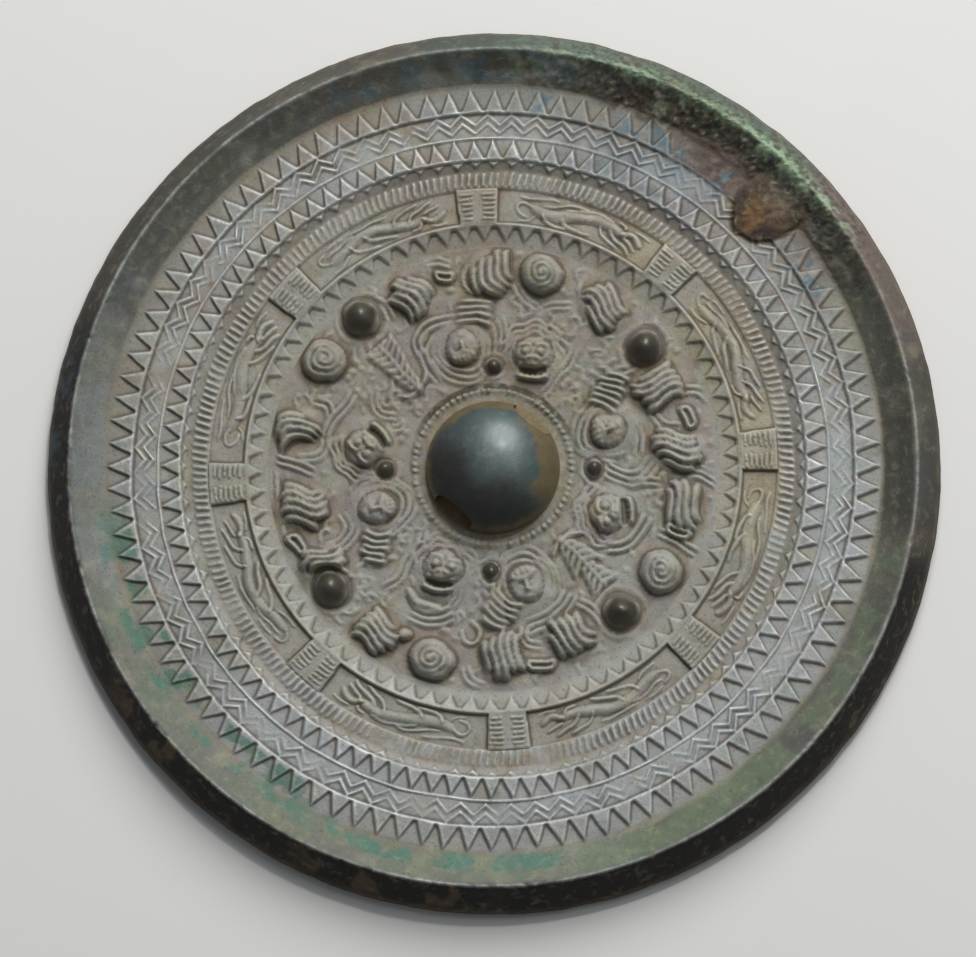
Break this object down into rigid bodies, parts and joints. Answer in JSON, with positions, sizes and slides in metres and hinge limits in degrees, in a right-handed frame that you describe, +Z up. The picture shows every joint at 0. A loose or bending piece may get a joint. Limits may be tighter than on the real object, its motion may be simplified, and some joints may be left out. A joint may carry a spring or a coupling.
{
  "type": "bronze mirror",
  "caption": "Ancient round bronze mirror, its back cast with a triangular rim, saw-tooth and zigzag bands, square seals, relief figures, studs and a pierced central boss.",
  "frame": {"origin": "middle of the flat spot of the plain face, which lies on the table", "axes": "+Z up out of the decorated back; +X along the cord bore through the boss"},
  "size_m": [0.22, 0.22, 0.0155],
  "materials": {
    "patinated_bronze": "buried cast bronze: grey-olive patina with pale earth in the hollows, worn silvery crests, dark smooth boss and studs, green and brown corrosion on the rim"
  },
  "bodies": {
    "root": {"mirror_plate": "patinated_bronze", "boss": "patinated_bronze"}
  },
  "joints": []
}
